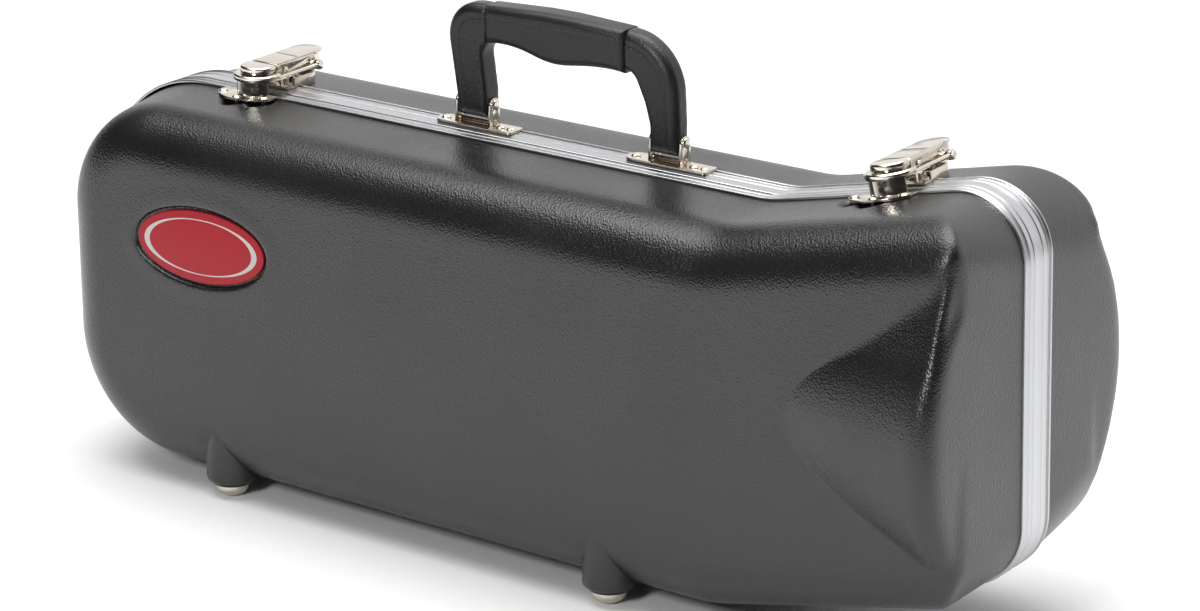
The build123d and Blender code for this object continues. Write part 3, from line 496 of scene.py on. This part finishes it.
FOOT_X = (-158.0, 84.75)
FRONT_FOOT_Y, REAR_FOOT_Y = -57.0, 50.0
moulded_skin("lid_shell", -1, [(x, FRONT_FOOT_Y) for x in FOOT_X])
moulded_skin("base_shell", 1, [(x, REAR_FOOT_Y) for x in FOOT_X])

# %% [markdown]
# ## Valance
# Two extruded sections, swept round the outline. Thin rounded ridges run along the outer face, and a bead
# along each edge. The lid's tongue enters the rebate of the base.

# %% Sweep
def swept(name, section, side, material, count=720):
    """Sweep a closed section, given as (inset, depth from the parting), round the outline."""
    spots, ways, _ = outline(count)
    rings = []
    for inset, depth in section:
        ring = spots - ways * inset
        rings.append(np.stack([ring[:, 0], np.full(count, PARTING + side * depth), ring[:, 1]], 1))
    rings.append(rings[0])
    grid = np.array(rings)
    piece = make(name, grid.reshape(-1, 3), grid_faces(len(rings), count, flip=side < 0), material)
    work = bmesh.new()
    work.from_mesh(piece.data)
    bmesh.ops.remove_doubles(work, verts=work.verts, dist=1e-6)
    bmesh.ops.recalc_face_normals(work, faces=work.faces)
    work.to_mesh(piece.data)
    work.free()
    mark_sharp(piece.data, 40)
    return piece


def ridged_face(width, flat=0.3, ridges=((4.1, 0.45), (8.2, 0.35)), bead=0.75, steps=4):
    """Outer face of half a valance: a flat with thin rounded ridges, and a bead along the edge."""
    face = [(flat, 0.0)]
    for middle, half in ridges:
        for j in range(-steps, steps + 1):
            face.append((flat - 0.5 * flat * (1 + cos(pi * j / steps)), middle + half * j / steps))
    for k in range(9):
        a = pi * k / 8
        face.append((bead * (1 - sin(a)) * 0.6 + (flat if k == 0 else 0), width - bead - bead * cos(a)))
    return face


outer_face = ridged_face(HALF_BAND)
flange = outer_face + [(SKIN, HALF_BAND), (SKIN, 5.0), (4.4, 5.0)]
lid_section = flange + [(4.4, 0.0), (4.3, 0.0), (4.3, -2.5), (3.1, -2.5), (3.1, 0.0)]
base_section = flange + [(4.4, 2.8), (2.8, 2.8), (2.8, 0.0)]
settle(swept("lid_band", lid_section, -1, aluminium), "lid", "valance", "lid_valance")
settle(swept("base_band", base_section, 1, aluminium), "base", "valance", "base_valance")

# %% [markdown]
# ## Hardware
# The CAD pieces, with their edges eased.

# %% Hardware, feet and badge
PLATED = ("latch", "lever", "link", "keeper", "bracket", "hinge", "pin", "rivets", "feet")
for node in sorted(nodes):
    if any(word in node for word in PLATED) and "rods" not in node:
        soften(node, nickel, "nickel", 0.22)
soften("bracket_rods", copper, "rod", 0.2)
soften("front_washers", rubber, "rubber", 0.4)
soften("rear_washers", rubber, "rubber", 0.4)
soften("badge_plate", badge_paint, "badge", 0.2)

# %% [markdown]
# ## Padded handle
# The arch is remeshed and its vertices are moved: rounded towards the outer edge, with a groove where the
# rim band is sewn on.

# %% Handle
HANDLE_Y, HALF_GRIP = 12.3, 6.8  # middle and half thickness of the arch, in millimetres
CAD_EDGE, SOFT_EDGE = 2.6, 5.0  # rounding of the outer edge, as it is and as it becomes
SEAM_IN, GROOVE_DEEP, GROOVE_HALF = 6.6, 0.55, 0.55  # the rim band's seam, from the outer edge
OUTER = ((-55.5, 214), (-63.4, 267.6), (13, 269.4), (77.6, 267.6), (79.8, 225), (79.8, 214))
OUTER_ROUNDS = (0, 18, 200, 30, 40, 0)


def rounded_path(corners, rounds, step=1.0):
    """Points along an open line with rounded corners."""
    spots = [Vector(corners[0])]
    for i in range(1, len(corners) - 1):
        before = (Vector(corners[i]) - Vector(corners[i - 1])).normalized()
        after = (Vector(corners[i + 1]) - Vector(corners[i])).normalized()
        turn = before.angle_signed(after)
        reach = abs(rounds[i] * tan(turn / 2))
        start = Vector(corners[i]) - before * reach
        side = Vector((-before.y, before.x)) * (rounds[i] if turn < 0 else -rounds[i])
        centre = start + side
        count = max(2, int(abs(turn) * rounds[i] / step))
        for k in range(count + 1):
            a = -turn * k / count
            arm = start - centre
            spots.append(centre + Vector((arm.x * cos(a) - arm.y * sin(a), arm.x * sin(a) + arm.y * cos(a))))
    spots.append(Vector(corners[-1]))
    path = np.array(spots)
    along = np.concatenate([[0], np.cumsum(np.linalg.norm(np.diff(path, axis=0), axis=1))])
    wanted = np.arange(0, along[-1], step)
    return np.stack([np.interp(wanted, along, path[:, k]) for k in (0, 1)], 1)


def offset_path(path, distance):
    """The path moved to its right by a distance."""
    ahead = np.gradient(path, axis=0)
    ahead /= np.linalg.norm(ahead, axis=1)[:, None]
    return path + np.stack([ahead[:, 1], -ahead[:, 0]], 1) * distance


rim_path = rounded_path(OUTER, OUTER_ROUNDS)
arch = bpy.data.objects.new("handle_arch", nodes["handle_grip"].data.copy())
bpy.context.scene.collection.objects.link(arch)
arch.data.materials.clear()
arch.data.materials.append(grip_black)
remesh = arch.modifiers.new("remesh", "REMESH")
remesh.mode = "VOXEL"
remesh.voxel_size = 0.9 * MM
remesh.use_smooth_shade = True
apply_modifiers(arch)
spots = np.array([v.co for v in arch.data.vertices]) / MM
far = np.concatenate(
    [
        np.linalg.norm(part[:, None, [0, 2]] - rim_path[None], axis=2).min(1)
        for part in np.array_split(spots, 40)  # in batches, to save memory
    ]
)


def rounding(radius):
    """Half thickness at each distance from the edge, for an edge rounding."""
    inside = np.clip(radius - far, 0, radius)
    return HALF_GRIP - radius + np.sqrt(np.maximum(radius**2 - inside**2, 0.01))


lift = rounding(SOFT_EDGE) / rounding(CAD_EDGE)
groove = GROOVE_DEEP * np.exp(-(((far - SEAM_IN) / GROOVE_HALF) ** 2))
across = spots[:, 1] - HANDLE_Y
on_a_side = np.abs(across) > 4
spots[:, 1] = HANDLE_Y + across * lift - np.sign(across) * groove * on_a_side
for vertex, spot in zip(arch.data.vertices, spots):
    vertex.co = Vector(spot) * MM
ease = arch.modifiers.new("ease", "SMOOTH")
ease.factor = 0.5
ease.iterations = 3
apply_modifiers(arch)
settle(arch, "handle", "grip", "handle_grip")
soften("grip_sleeve", grip_black, "grip", 0.5)

# %% [markdown]
# The stitches are set along the seams by a small geometry node tree, and then made a plain mesh.

# %% Stitches
def stitch_tree(pitch=3.1, long=1.05, thick=0.36):
    """Node tree that sets a stitch at even steps along a line, in millimetres."""
    tree = bpy.data.node_groups.new("stitches", "GeometryNodeTree")
    tree.interface.new_socket("Line", in_out="INPUT", socket_type="NodeSocketGeometry")
    tree.interface.new_socket("Stitches", in_out="OUTPUT", socket_type="NodeSocketGeometry")
    start, end = tree.nodes.new("NodeGroupInput"), tree.nodes.new("NodeGroupOutput")
    curve = tree.nodes.new("GeometryNodeMeshToCurve")
    dots = node_of(tree, "GeometryNodeCurveToPoints", mode="LENGTH", Length=pitch * MM)
    ball = node_of(tree, "GeometryNodeMeshUVSphere", Segments=8, Rings=6, Radius=thick * MM)
    stretch = node_of(tree, "GeometryNodeTransform", Scale=(1, 1, long / thick))
    place = tree.nodes.new("GeometryNodeInstanceOnPoints")
    solid = tree.nodes.new("GeometryNodeRealizeInstances")
    paint = node_of(tree, "GeometryNodeSetMaterial", Material=thread)
    link = tree.links.new
    link(start.outputs[0], curve.inputs["Mesh"])
    link(curve.outputs["Curve"], dots.inputs["Curve"])
    link(dots.outputs["Points"], place.inputs["Points"])
    link(dots.outputs["Rotation"], place.inputs["Rotation"])
    link(ball.outputs["Mesh"], stretch.inputs["Geometry"])
    link(stretch.outputs["Geometry"], place.inputs["Instance"])
    link(place.outputs["Instances"], solid.inputs["Geometry"])
    link(solid.outputs["Geometry"], paint.inputs["Geometry"])
    link(paint.outputs["Geometry"], end.inputs[0])
    return tree


GRIP_SIDE, SLEEVE_SIDE = 6.75, 8.45  # height of the stitches on either side of the middle
SLEEVE_LOW, SLEEVE_SPAN = 243, (-36.5, 49.5)
LEFT_SEAM = rounded_path(((-38.8, 222), (-42.4, 249)), (0, 0))
RIGHT_SEAM = rounded_path(((65.9, 222), (62.5, 236), (57.5, 247)), (0, 12, 0))
SLEEVE_TOP = rounded_path(((-33, 263.4), (47, 263.4)), (0, 0))
RIM_SEAM = offset_path(rim_path, SEAM_IN + 1.3)[8:-8]
seams = [(path, GRIP_SIDE) for path in (RIM_SEAM, LEFT_SEAM, RIGHT_SEAM)] + [(SLEEVE_TOP, SLEEVE_SIDE)]
line_points, line_edges = [], []
for path, height in seams:
    for side in (-1, 1):
        first = len(line_points)
        for x, z in path:
            covered = height == GRIP_SIDE and z > SLEEVE_LOW and SLEEVE_SPAN[0] < x < SLEEVE_SPAN[1]
            if not covered:
                line_points.append((x * MM, (HANDLE_Y + side * height) * MM, z * MM))
        for k in range(first, len(line_points) - 1):
            if (Vector(line_points[k]) - Vector(line_points[k + 1])).length < 3 * MM:
                line_edges.append((k, k + 1))
line_mesh = bpy.data.meshes.new("handle_stitches")
line_mesh.from_pydata(line_points, line_edges, [])
stitches = bpy.data.objects.new("handle_stitches", line_mesh)
bpy.context.scene.collection.objects.link(stitches)
sewing = stitches.modifiers.new("sewing", "NODES")
sewing.node_group = stitch_tree()
apply_modifiers(stitches)
for face in stitches.data.polygons:
    face.use_smooth = True
settle(stitches, "handle", "grip")

# %% [markdown]
# ## Foot bosses and the badge seat
# Each boss is a blunt post that the skin runs into. The seat of the badge has a gently raised lip.

# %% Revolved bosses
def ring_surface(name, profile, centre, material, count=96, stretch=(0, 0), turn=0.0, axis="Z"):
    """Rings from (radius, height) points, in millimetres: round, or stretched to ovals by two half axes."""
    faces, spots = [], []
    for radius, height in profile:
        for k in range(count):
            a = 2 * pi * k / count
            u, w = (radius + stretch[0]) * cos(a), (radius + stretch[1]) * sin(a)
            u, w = u * cos(turn) - w * sin(turn), u * sin(turn) + w * cos(turn)
            if axis == "Z":
                spots.append((centre[0] + u, centre[1] + w, centre[2] + height))
            else:
                spots.append((centre[0] + u, centre[1] - height, centre[2] + w))
    faces = grid_faces(len(profile), count)
    return make(name, spots, faces, material)


post = [(0.05, 8.5), (11.5, 8.5), (12.7, 8.7), (13.3, 9.3), (13.5, 10.3), (13.1, 22), (12.6, 34)]
post += [(12.4, 39.5), (11.5, 42.5), (9.0, 45.0), (0.05, 46.0)]
for name, y, body in (("front", FRONT_FOOT_Y, "lid"), ("rear", REAR_FOOT_Y, "base")):
    for label, x in zip(("tail", "bell"), FOOT_X):
        boss = ring_surface(f"{name}_{label}_boss", post, (x, y, 0), shell_black)
        settle(boss, body, "shell")

lip = [(0.4, -1.95), (1.2, -1.9), (1.5, -1.6), (1.8, -0.8), (2.3, -0.2), (3.0, 0.1)]
lip += [(4.2, 0.22), (6.5, 0.2), (9.0, 0.12), (12.0, 0.03), (15.0, -0.08)]
seat = ring_surface(
    "badge_seat",
    lip,
    (badge_centre.x / MM, PARTING - DEPTH[-1], badge_centre.z / MM),
    shell_black,
    count=160,
    stretch=(42.5, 19.25),  # half axes of the plate
    turn=BADGE_TILT,
    axis="Y",
)
settle(seat, "lid", "shell")

# %% [markdown]
# ## Padding
# Plush over foam: the CAD solids are remeshed and eased.

# %% Padded inserts
for node in ("lid_insert", "base_insert"):
    pad = bpy.data.objects.new(node + "_plush", nodes[node].data.copy())
    bpy.context.scene.collection.objects.link(pad)
    pad.data.materials.clear()
    pad.data.materials.append(plush)
    remesh = pad.modifiers.new("remesh", "REMESH")
    remesh.mode = "VOXEL"
    remesh.voxel_size = 4 * MM
    remesh.use_smooth_shade = True
    ease = pad.modifiers.new("ease", "SMOOTH")
    ease.factor = 0.5
    ease.iterations = 4
    apply_modifiers(pad)
    settle(pad, BODY_OF[node], "padding", node)

# %% [markdown]
# ## Floor, light and camera
# The black skin shows mostly what it mirrors. The sky is bright behind and above the case and dark in
# front of it, so the flat faces take the pale floor and the roundings and the facet stay dark.

# %% Stage
floor_mesh = bpy.data.meshes.new("floor")
floor_mesh.from_pydata([(-6, -6, 0), (6, -6, 0), (6, 6, 0), (-6, 6, 0)], [], [(0, 1, 2, 3)])
floor = bpy.data.objects.new("floor", floor_mesh)
bpy.context.scene.collection.objects.link(floor)
floor_paint, floor_shader = new_material("floor")
floor_shader.inputs["Base Color"].default_value = (0.93, 0.93, 0.93, 1)
floor_shader.inputs["Roughness"].default_value = 0.7
floor_mesh.materials.append(floor_paint)

GLOW = (("Y", 0.3, 0.65, 1.0), ("Z", 0.55, 0.9, 0.45))  # axis, where it starts and ends, its strength
DARKEST = 0.012
world = bpy.data.worlds.new("studio")
bpy.context.scene.world = world
world.use_nodes = True
sky = world.node_tree
way = sky.nodes.new("ShaderNodeTexCoord")
split = sky.nodes.new("ShaderNodeSeparateXYZ")
sky.links.new(way.outputs["Generated"], split.inputs["Vector"])
bright = node_of(sky, "ShaderNodeMath", operation="ADD")
for i, (axis, low, high, most) in enumerate(GLOW):
    part = node_of(sky, "ShaderNodeMapRange", interpolation_type="SMOOTHSTEP")
    for socket, value in zip(("From Min", "From Max", "To Min", "To Max"), (low, high, DARKEST, most)):
        part.inputs[socket].default_value = value
    sky.links.new(split.outputs[axis], part.inputs["Value"])
    sky.links.new(part.outputs["Result"], bright.inputs[i])
sky.links.new(bright.outputs[0], sky.nodes["Background"].inputs["Strength"])
sky.nodes["Background"].inputs["Color"].default_value = (1, 1, 1, 1)


def area_light(name, place, target, size, power):
    """Soft rectangular light aimed at a point."""
    data = bpy.data.lights.new(name, "AREA")
    data.shape = "RECTANGLE"
    data.size, data.size_y = size
    data.energy = power
    lamp = bpy.data.objects.new(name, data)
    bpy.context.scene.collection.objects.link(lamp)
    lamp.location = place
    lamp.rotation_euler = (Vector(target) - Vector(place)).to_track_quat("-Z", "Y").to_euler()
    return lamp


area_light("overhead", (-0.2, 0.1, 2.2), (-0.1, 0.0, 0.1), (2.6, 1.6), 62)
area_light("front", (0.15, -1.9, 1.25), (0.2, 0, 0.15), (0.5, 0.5), 20)

print(len(bpy.data.lights), "lights")

# %% Camera
CAMERA = Vector((1.0610, -1.4260, 0.7366))
TARGET = Vector((0.03425, 0.006, 0.12606))
camera_data = bpy.data.cameras.new("camera")
camera_data.sensor_width = 36.0
camera_data.lens = 112.08
camera_data.shift_y = -0.0025
camera = bpy.data.objects.new("camera", camera_data)
bpy.context.scene.collection.objects.link(camera)
camera.location = CAMERA
camera.rotation_mode = "QUATERNION"
roll = Matrix.Rotation(radians(-0.12), 3, "Z").to_quaternion()
camera.rotation_quaternion = (TARGET - CAMERA).to_track_quat("-Z", "Y") @ roll
bpy.context.scene.camera = camera
bpy.context.scene.view_settings.view_transform = "Standard"
print("camera", tuple(CAMERA), camera_data.lens, "mm")
